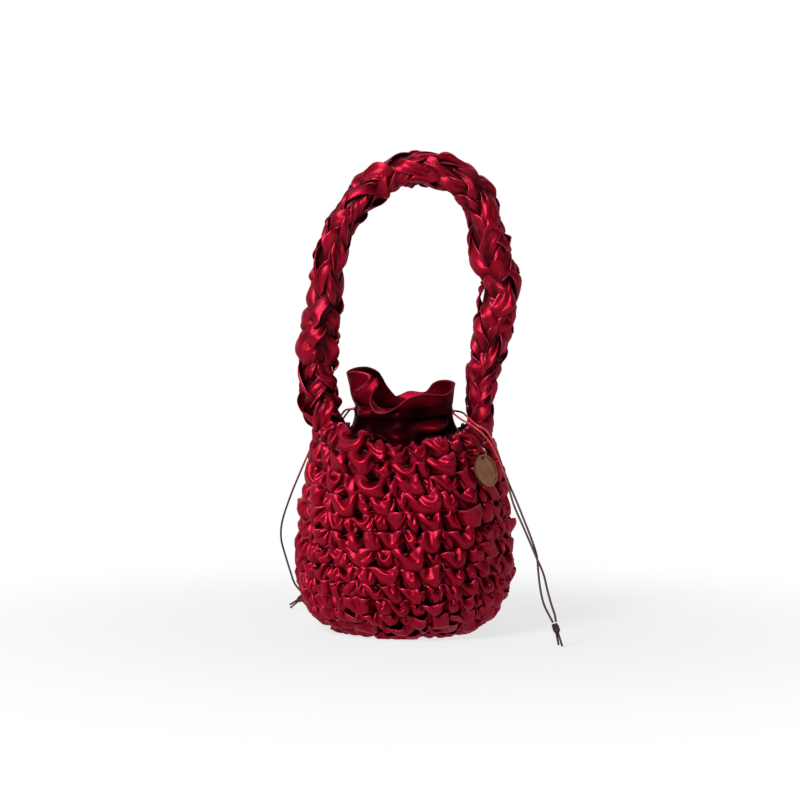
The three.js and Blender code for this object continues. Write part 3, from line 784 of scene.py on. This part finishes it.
def add_ribbon(cloth, way, index):
    """Both faces of one ribbon, laid round the handle."""
    ribbon, shown = wound_ribbon(way, index)
    normal = unit(np.cross(np.gradient(ribbon, axis=1), np.gradient(ribbon, axis=0)))
    inner, outer = (ribbon + side * RIBBON_CLOTH / 2 * normal for side in (-1, 1))
    x, y, z = np.moveaxis(np.concatenate([inner, outer[:, ::-1]], 1), -1, 0)
    # painted shade close to the handle's middle; the hems' paler colour, partly a painted highlight, is
    # painted only where that shade lifts
    lit = smoothstep(z, *RIBBON_LIT) * np.hstack([shown, shown[:, ::-1]])
    edge = np.zeros((1, 2 * RIBBON_COLUMNS))
    edge[:, [0, RIBBON_COLUMNS - 1, RIBBON_COLUMNS, -1]] = 1
    cloth.add(on_handle(x, y / RIBBON_MIDDLE, z), edge * lit, lit)


def add_core(cloth):
    run = np.linspace(-FOOT_DROP, HANDLE_LENGTH + FOOT_DROP, CORE_ROWS)[:, None]
    angle = np.linspace(0, TURN, CORE_COLUMNS, endpoint=False)[None]
    cloth.add(on_handle(run, angle, CORE_RADIUS), open_to_light=CORE_LIT)


def handle():
    for name, way in (("knit_handle_left", -1), ("knit_handle_right", 1)):
        cloth = Cloth()
        if way > 0:
            add_core(cloth)
        for index in range(WAYS):
            add_ribbon(cloth, way, index)
        cloth.piece(name, CROCHET_SATIN, "crochet_satin", "handle")


handle()


# Lining: a pouch, a gathered collar that ends in a frill, and two casing strips

LINING_GAP = 0.6
CLOTH_HALF = 0.35
HEM_EXTRA = 0.12  # how much thicker the frill's hem is, on each face
COLLAR_COLUMNS = 560
COLLAR_STATIONS = [  # radius, height, share of the rim's lift, depth of the pleats
    (52.6, 136.5, 0.8, 0.2), (52, 139.5, 0.95, 0.4), (48, 142.5, 0.9, 1), (43.5, 144.8, 0.75, 1.5),
    (40.5, 148.5, 0.6, 1.6), (38.8, 154, 0.4, 1), (37.4, 161, 0.32, 0.5), (36.8, 171, 0.3, 0.4),
]
STATION_STEPS = 4
COLLAR_PLEAT = 2.8
COLLAR_WAVES = (4, 7, 9, 17)
FLARES = [(1, (305, 156, 16, 4.5)), (0.5, (262, 151, 10, 4))]  # share of the depth and of the painted light on the neck, and the fold's drape
FLARE_DEPTH = 8
FRILL_HEM = [
    (35, -20, 185), (39, -8, 191), (30, 14, 192.5), (22.5, 28, 189.6), (16.5, 36, 182.5), (4, 41, 182.8),
    (-6, 42, 178.8), (-11, 40, 180), (-15, 33, 188.6), (-19.5, 25, 198), (-28, 17, 202.4), (-38, 10, 202),
    (-44, -2, 199), (-34, -14, 200), (-25, -18, 196.4), (-36, -23, 185.5), (-20.9, -26, 195.2),
    (-19.3, -28, 191.2), (-25.8, -34, 180), (-22.5, -40, 170.5), (-15.5, -43, 169.3), (-5, -42, 174.5),
    (2.3, -40, 180), (9, -38, 182.5), (16, -37, 183.5), (23, -34, 183), (30, -28, 182.5),
]
HEM_STEPS = 16
HEM_BY_LENGTH = 0.6  # share of the hem's spread that goes by length, the rest by angle
FRILL_ROWS = 14
FRILL_LEAN = 0.55  # share of the frill's height at which it bends outwards
FRILL_BULGE = (0.05, 0.17)  # how far it bulges all round, and more so on the left
NECK_RUFFLE = (0.6, (9, 14, 19))
HEM_RUFFLE = (0.9, (5, 9, 13))
FRILL_LIT = (7, 3)  # rows below the foot and the hem between which the frill's painted shade fades out
# painted shade over the middle of the frill's front: angle, height, width and height span of that fold
FRILL_SHADE = (284, 170, 14, 10)
CASING_RADIUS = 37.6
CASING_COLUMNS = 150
CASING_ROWS = 9
CASING_BOW = 1.9
CASING_PUCKER = (0.3, (17, 26, 39))
# a bunched fold of the casing, which stands out and also gets painted light
CASING_BUNCH = (220, 167, 8, 6)
BUNCH_DEPTH = 3.5
# painted shade over the casing's middle front
CASING_SHADE = (284, 167, 20, 20)
POUCH_COLUMNS = 180
POUCH_ROWS = 40
POUCH_SPAN = (4, WALL_RUN * 0.93)
POUCH_WRINKLE = 2.2
POUCH_CLEAR = 0.5
FLOOR_ROWS = 12


def hem_line(angle):
    """The frill's hem at the angles where it leaves the casing."""
    points = np.array(FRILL_HEM)
    turned = np.unwrap(np.arctan2(points[:, 1], points[:, 0]))
    along = lengths_along(np.vstack([points, points[:1]]))
    evenly = turned[0] + TURN * along[:-1] / along[-1]
    turned = (1 - HEM_BY_LENGTH) * turned + HEM_BY_LENGTH * evenly
    dense = centripetal(points, HEM_STEPS, closed=True)
    spans = np.append(turned, turned[0] + TURN)
    places = np.interp(np.arange(len(dense) + 1) / HEM_STEPS, np.arange(len(spans)), spans)
    dense = np.vstack([dense, dense[:1]])
    return sample((angle - turned[0]) % TURN + turned[0], places, dense)


def drape(angle, height, at, level, wide, tall):
    """1 in the middle of a fold, at an angle in degrees and a height, and 0 away from it."""
    turn = (np.degrees(angle) - at + 180) % 360 - 180
    return np.exp(-(turn / wide) ** 2 - ((height - level) / tall) ** 2)


def collar_neck(angle):
    """The collar up to the casing's top, and how far it is drawn out into folds, which also sets the
    painted light on those folds.
    """
    stations = centripetal(COLLAR_STATIONS, STATION_STEPS)
    share = np.linspace(0, 1, len(stations))[:, None]
    radius, height, lift, pleat = (stations[:, k][:, None] for k in range(4))
    pleats = ripple(angle[None], COLLAR_WAVES, 4 * share)
    flare = sum(size * drape(angle[None], height, *fold) for size, fold in FLARES)
    radius = radius + COLLAR_PLEAT * pleat * pleats + FLARE_DEPTH * flare
    return polar(radius, angle[None], height + lift * rim_lift(angle, BODY_HEIGHT)[None]), flare


def collar_frill(angle, top):
    """The frill, from the casing's top to its hem."""
    hem = hem_line(angle)
    t = np.linspace(0, 1, FRILL_ROWS + 1)[1:, None, None]
    around, left = FRILL_BULGE
    bulge = around + left * smoothstep(-np.cos(angle), 0.3, 1)[:, None]
    lean = top + UP * (FRILL_LEAN * (hem - top)[:, 2:]) + bulge * top * LEVEL
    rows = (1 - t) ** 2 * top + 2 * t * (1 - t) * lean + t ** 2 * hem
    share = t[..., 0]
    size, waves = NECK_RUFFLE
    ruffle = ripple(angle[None], waves, 3 * share) * size * (1 - share) ** 2
    size, waves = HEM_RUFFLE
    ruffle = ruffle + ripple(angle[None], waves, share) * size * share
    return rows + ruffle[..., None] * unit(polar(1, angle, 0))


def collar():
    angle = np.linspace(0, TURN, COLLAR_COLUMNS, endpoint=False)
    neck, flare = collar_neck(angle)
    grid = np.concatenate([neck, collar_frill(angle, neck[-1])])
    rows = np.arange(len(grid))
    half = CLOTH_HALF + HEM_EXTRA * (rows >= len(grid) - 2)[:, None, None]
    # Painted light: shade painted on the neck, on the frill's foot and over its middle front, with lighter
    # paint on the flared folds of the neck
    below_frill, below_hem = FRILL_LIT
    lit = smoothstep(rows, len(neck) - below_frill, len(grid) - below_hem)[:, None]
    lit = lit * (1 - 0.9 * drape(angle, grid[..., 2], *FRILL_SHADE))
    lit[:len(neck)] = np.maximum(lit[:len(neck)], flare)
    # the hem rows take the paler hem colour, partly a painted highlight
    edge = np.zeros((2 * len(grid), 1))
    edge[len(grid) - 1:len(grid) + 1] = 1
    cloth = Cloth()
    cloth.add(shell(grid, half), edge, np.concatenate([lit, lit[::-1]]), loop_rows=True)
    return cloth.piece("drawstring_frill", LINING_SATIN, "lining_satin", "drawstring_collar")


def casing(name, low, high, node):
    """A strip that bows out round the collar, from one angle to another."""
    angle = np.radians(np.linspace(low, high, CASING_COLUMNS))[:, None]
    share = np.concatenate([np.linspace(0, 1, CASING_ROWS), np.linspace(1, 0, CASING_ROWS)])[None]
    outer = np.repeat((1, 0), CASING_ROWS)[None]
    bow = CASING_BOW * np.sin(math.pi * share) ** 1.4
    thick = outer * (0.15 + 0.85 * np.sin(math.pi * share))
    size, waves = CASING_PUCKER
    pucker = size * ripple(angle, waves, share)
    height = CASING_HEIGHT + CASING_WIDTH * (share - 0.5) + CASING_LIFT * rim_lift(angle, BODY_HEIGHT)
    bunch = drape(angle, height, *CASING_BUNCH)
    # painted light: dark at the strip's edges, lighter across its middle and on the bunched fold, with
    # shade painted over the front
    lit = (0.1 + 0.25 * share + 0.5 * bunch) * (1 - drape(angle, height, *CASING_SHADE))
    cloth = Cloth()
    radius = CASING_RADIUS + bow + thick + pucker + BUNCH_DEPTH * bunch
    cloth.add(polar(radius, angle, height), open_to_light=lit)
    return cloth.piece(name, LINING_SATIN, "lining_satin", node)


def lining():
    angle = np.linspace(0, TURN, POUCH_COLUMNS, endpoint=False)[None]
    run = np.linspace(*POUCH_SPAN, POUCH_ROWS)[:, None]
    wrinkle = np.abs(ripple(angle, (5, 9, 14), run / 9)) * POUCH_WRINKLE
    wall = on_crest(run, -WALL - LINING_GAP - POUCH_CLEAR - wrinkle, angle)
    wall[..., 2] = np.maximum(wall[..., 2], FLOOR + LINING_GAP + POUCH_CLEAR)
    spread = np.linspace(0.01, 1, FLOOR_ROWS, endpoint=False)[:, None, None]
    bottom = wall[:1] * (spread * LEVEL + UP)
    cloth = Cloth()
    cloth.add(shell(np.concatenate([bottom, wall]), CLOTH_HALF), loop_rows=True)
    return cloth.piece("lining_pouch_cloth", LINING_SATIN, "lining_satin", "lining_pouch")


frill = collar()
casing("casing_front_cloth", 200, 332, "casing_front")
casing("casing_back_cloth", 20, 152, "casing_back")
pouch = lining()


# Drawstrings: routes from the casing to the knots, as in the CAD model

RIGHT_BACK = [
    (44.5, 1, 168), (49, -13, 164.5), (55, -22, 159.5), (62.5, -25, 155), (68.5, -27, 145),
    (73.5, -30, 131), (78.5, -38, 117), (84, -46, 104), (89.5, -54.5, 90), (94.6, -62, 76.5),
    (98, -68.5, 65), (98.8, -74, 54), (100.1, -79.5, 41), (102.4, -84, 31), (106, -86.5, 23.5),
]
RIGHT_FRONT = [
    (43, -23, 164), (51, -28, 159.5), (58.5, -32, 154), (64.5, -33.5, 147), (69.5, -34.5, 138),
    (75, -38, 125), (78.5, -44, 113), (82, -50.5, 101), (87.5, -58.5, 88), (92.4, -65.5, 76.5),
    (97.4, -72.5, 64.5), (102.3, -76, 53), (105.3, -80, 40.5), (107.8, -84, 31), (110.2, -86.5, 23.5),
]
LEFT_FRONT = [
    (-44.5, 1, 170), (-49, 14, 165), (-54, 22.5, 159.5), (-61, 27, 155.5), (-67.5, 30.5, 148),
    (-73, 33, 138.4), (-80.4, 39, 122.3), (-90.4, 50, 98.5), (-97.8, 61, 76), (-98.8, 70, 62.2),
    (-96, 78, 48.5), (-92.5, 87, 34.4), (-89.2, 95, 23),
]
LEFT_BACK = [
    (-42, 24, 169), (-48.5, 34, 160.5), (-54, 42, 152.5), (-58.5, 49, 143), (-63, 57, 127),
    (-67.5, 66, 106), (-71.5, 76, 82), (-75.5, 86, 57), (-79, 94, 35), (-81.5, 98.5, 22),
]
ROUTE_STEPS = 6
RUN_STEPS = 40
KNOT_GAP = 0.3  # room between a strand's end and its knot, and between two strands
KNOT_STEPS = 97
KNOT_INSET = (0.75, 1.3)  # how far the cord's middle lies inside the knot's side and end
KNOT_LOOPS = [(1, 0), (0.86, 0.55)]  # size of each strand's loops, and their turn
TAIL_SHORTER = 1.5
TAIL_STEPS = 12
TAIL_SPREAD = (0.7, 0.5)  # half the gap between the tails at the knot, and how far it widens
RIGHT_KNOT = SimpleNamespace(at=np.array((110.8, -88.6, 14.5)), tail=np.array((0.246, -0.108, -0.963)))
LEFT_KNOT = SimpleNamespace(at=np.array((-84.6, 106, 9.6)), tail=np.array((-0.68, 0.43, -0.55)))


def run_end(degrees, level):
    angle = np.radians(degrees)
    return polar(RUN_RADIUS, angle, CASING_HEIGHT + level + CASING_LIFT * rim_lift(angle, BODY_HEIGHT))


def casing_run(name, start, end, level, node):
    line = run_end(np.linspace(start, end, RUN_STEPS), level)
    return tube(name, [line], CORD / 2, CORD_FIBRE, "bag", "cord", node)


def knot_frame(knot):
    axis = unit(knot.tail)
    beside = unit(np.cross(axis, (0, 1, 0)))
    return axis, beside, np.cross(axis, beside)


def knot_loops(knot, size, turn):
    """An overhand knot of one strand, turned about the knot's axis."""
    axis, beside, other = knot_frame(knot)
    side_inset, end_inset = KNOT_INSET
    t = np.linspace(0, TURN, KNOT_STEPS)[:, None]
    ring = (KNOT_RADIUS - side_inset) * size / 3
    x = ring * (np.sin(t) + 2 * np.sin(2 * t))
    y = ring * (np.cos(t) - 2 * np.cos(2 * t))
    z = (KNOT_LENGTH / 2 - end_inset) * np.sin(3 * t)
    turned_x = x * math.cos(turn) - y * math.sin(turn)
    turned_y = x * math.sin(turn) + y * math.cos(turn)
    return knot.at + turned_x * beside + turned_y * other + z * axis


def knot_tail(knot, side, length):
    axis, beside, _ = knot_frame(knot)
    near, wider = TAIL_SPREAD
    share = np.linspace(0, 1, TAIL_STEPS)[:, None]
    along = (1 + (KNOT_LENGTH / 2 + length - 1) * share) * axis
    return knot.at + along + side * (near + wider * share ** 2) * beside


def knot_piece(name, knot, node):
    """An overhand knot of the two strands, and their two short tails."""
    lines = [knot_loops(knot, size, turn) for size, turn in KNOT_LOOPS]
    lines += [knot_tail(knot, side, length) for side, length in ((-1, TAIL - TAIL_SHORTER), (1, TAIL))]
    return tube(name, lines, CORD / 2, CORD_FIBRE, "bag", "cord", node)


def strand(name, start, route, knot, side, node):
    axis, beside, _ = knot_frame(knot)
    end = knot.at - axis * (KNOT_LENGTH / 2 + KNOT_GAP) + side * (CORD / 2 + KNOT_GAP) * beside
    line = centripetal([start, *route, end], ROUTE_STEPS)
    piece = tube(name, [line], CORD / 2, CORD_FIBRE, "bag", "cord", node)
    return piece


def drawstring(side, knot, level, first, second):
    """A knot, a run in the casing and two strands, each with a name, an angle on the casing and a route."""
    knot_of = [knot_piece(f"{side}_knot", knot, f"{side}_cord_knot")]
    casing_run(f"{side}_casing_run", second[1], first[1], level, f"{side}_cord_casing_run")
    for (name, degrees, route), beside, tied in ((first, -1, knot_of), (second, 1, [])):
        start = run_end(degrees % 360, level)
        strand(f"{side}_strand_{name}", start, route, knot, beside, f"{side}_cord_{name}_strand")


drawstring("right", RIGHT_KNOT, -1, ("back", 372, RIGHT_BACK), ("front", 340, RIGHT_FRONT))
drawstring("left", LEFT_KNOT, 1, ("front", 192, LEFT_FRONT), ("back", 160, LEFT_BACK))


# Charm: a bare brass disc on a jump ring that hooks through a loop of strip

LOOP_RADIUS = 1.3
LOOP_PATH = [(-4.5, -9.3), (-4.5, -1.3), (0, 0), (4.5, -1.3), (4.5, -9.3)]
LOOP_OUT = np.array((0.766, -0.6428, 0))
LOOP_STEPS = 10
LOOP_COLUMNS = 12
RING_STEPS = 64


def charm_loop():
    level_out = unit(LOOP_OUT)
    line = centripetal([CHARM_LOOP + x * CHARM_ALONG + y * level_out for x, y in LOOP_PATH], LOOP_STEPS)
    beside = unit(np.cross(np.gradient(line, axis=0), UP))
    turn = np.linspace(0, TURN, LOOP_COLUMNS, endpoint=False)[None, :, None]
    cloth = Cloth()
    cloth.add(line[:, None] + LOOP_RADIUS * (np.cos(turn) * beside[:, None] + np.sin(turn) * UP))
    return cloth.piece("charm_loop", CROCHET_SATIN, "crochet_satin", "crochet_body")


def jump_ring():
    turn = np.linspace(0, TURN, RING_STEPS + 1)[:, None]
    line = CHARM_RING + RING_RADIUS * (np.cos(turn) * CHARM_OUT + np.sin(turn) * CHARM_UP)
    return tube("jump_ring", [line], RING_WIRE / 2, BRASS, "ring", "charm_metal", "charm_ring")


def charm_disc():
    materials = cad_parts["charm_disc"].data.materials
    materials.clear()
    materials.append(BRASS)


charm_loop()
jump_ring()
charm_disc()


# Stage, in metres: a white floor and surround, soft light from the upper left, and the camera

BACKGROUND_LIGHT = 0.05
BACKGROUND_TINT = (1, 0.98, 0.96, 1)
WHITE = (1, 1, 1, 1)
CAMERA_SIDE = 0.08  # what the satin mirrors from behind the camera, next to the white backdrop
BACKDROP_SPAN = (-0.2, 0.6)  # how far to the back it begins and is full
FLOOR_REACH = 6
FLOOR_GREY = (0.5, 0.5, 0.5, 1)
FLOOR_GLOW = 0.75  # share of the floor that is plain white next to the bag
FLOOR_FADE = (0.1, 0.5)  # distances between which the floor becomes as white as the backdrop
LAMP_TARGET = (0, 0, 0.15)
LAMPS = [  # name, place, width and power
    ("key", (-0.7, -1.0, 1.0), 0.5, 32),
    ("fill", (0.9, -1.1, 0.5), 1.0, 0.5),
    ("top", (0.1, 0.5, 1.3), 0.8, 3),
]
CAMERA_PLACE = (-0.0031, -1.6, 0.245)
CAMERA_TARGET = (-0.0031, 0, 0.1775)
CAMERA_LENS = 93.6


def seen_directly(tree):
    """1 for rays from the camera, and for those that metal and glass send on."""
    path = add_node(tree, "ShaderNodeLightPath")
    either = calculate(tree, "ADD", path.outputs["Is Camera Ray"], path.outputs["Is Glossy Ray"])
    any_ray = calculate(tree, "ADD", either.outputs[0], path.outputs["Is Transmission Ray"])
    any_ray.use_clamp = True
    return any_ray.outputs[0]


def mix_surface(tree, share, first, second, output):
    """The output's surface: the first shader, and the second one by its share."""
    mix = tree.nodes.new("ShaderNodeMixShader")
    for socket, value in zip(mix.inputs, (share, first.outputs[0], second.outputs[0])):
        tree.links.new(value, socket)
    tree.links.new(mix.outputs[0], tree.nodes[output].inputs["Surface"])


def eased_range(tree, value, span, start):
    """From start to 1 while the value goes over its span."""
    low, high = span
    node = add_node(tree, "ShaderNodeMapRange", Value=value, From_Min=low, From_Max=high, To_Min=start)
    node.interpolation_type = "SMOOTHSTEP"
    return node.outputs["Result"]


def surround():
    world = bpy.data.worlds.new("studio")
    world.use_nodes = True
    bpy.context.scene.world = world
    tree = world.node_tree
    light = wire(tree, tree.nodes["Background"], Color=BACKGROUND_TINT, Strength=BACKGROUND_LIGHT)
    way = add_node(tree, "ShaderNodeTexCoord")
    parts = add_node(tree, "ShaderNodeSeparateXYZ", Vector=way.outputs["Generated"])
    backdrop = eased_range(tree, parts.outputs["Y"], BACKDROP_SPAN, CAMERA_SIDE)
    path = add_node(tree, "ShaderNodeLightPath")
    strength = calculate(tree, "ADD", backdrop, path.outputs["Is Camera Ray"])
    strength.use_clamp = True
    white = add_node(tree, "ShaderNodeBackground", Color=WHITE, Strength=strength.outputs[0])
    mix_surface(tree, seen_directly(tree), light, white, "World Output")


def floor():
    mesh = bpy.data.meshes.new("floor")
    corners = [(x * FLOOR_REACH, y * FLOOR_REACH, 0) for x, y in ((-1, -1), (1, -1), (1, 1), (-1, 1))]
    mesh.from_pydata(corners, [], [(0, 1, 2, 3)])
    piece = bpy.data.objects.new("floor", mesh)
    bpy.context.scene.collection.objects.link(piece)
    material, tree, shader = blank_material("floor_white")
    wire(tree, shader, Base_Color=FLOOR_GREY, Roughness=0.8)
    glow = add_node(tree, "ShaderNodeEmission", Color=WHITE, Strength=1.0)
    place = add_node(tree, "ShaderNodeTexCoord")
    far = add_node(tree, "ShaderNodeVectorMath", Vector=place.outputs["Object"])
    far.operation = "LENGTH"
    fade = eased_range(tree, far.outputs["Value"], FLOOR_FADE, FLOOR_GLOW)
    share = calculate(tree, "MULTIPLY", seen_directly(tree), fade)
    mix_surface(tree, share.outputs[0], shader, glow, "Material Output")
    mesh.materials.append(material)


def aimed(data, place, target):
    thing = bpy.data.objects.new(data.name, data)
    thing.location = place
    thing.rotation_euler = (Vector(target) - Vector(place)).to_track_quat("-Z", "Y").to_euler()
    bpy.context.scene.collection.objects.link(thing)
    return thing


def soft_lamp(name, place, size, power):
    lamp = bpy.data.lights.new(name, "AREA")
    lamp.size = size
    lamp.energy = power
    aimed(lamp, place, LAMP_TARGET)


def camera():
    view = bpy.data.cameras.new("photo_view")
    view.lens = CAMERA_LENS
    bpy.context.scene.camera = aimed(view, CAMERA_PLACE, CAMERA_TARGET)


surround()
floor()
for lamp_values in LAMPS:
    soft_lamp(*lamp_values)
camera()
bpy.context.scene.view_settings.view_transform = "Standard"
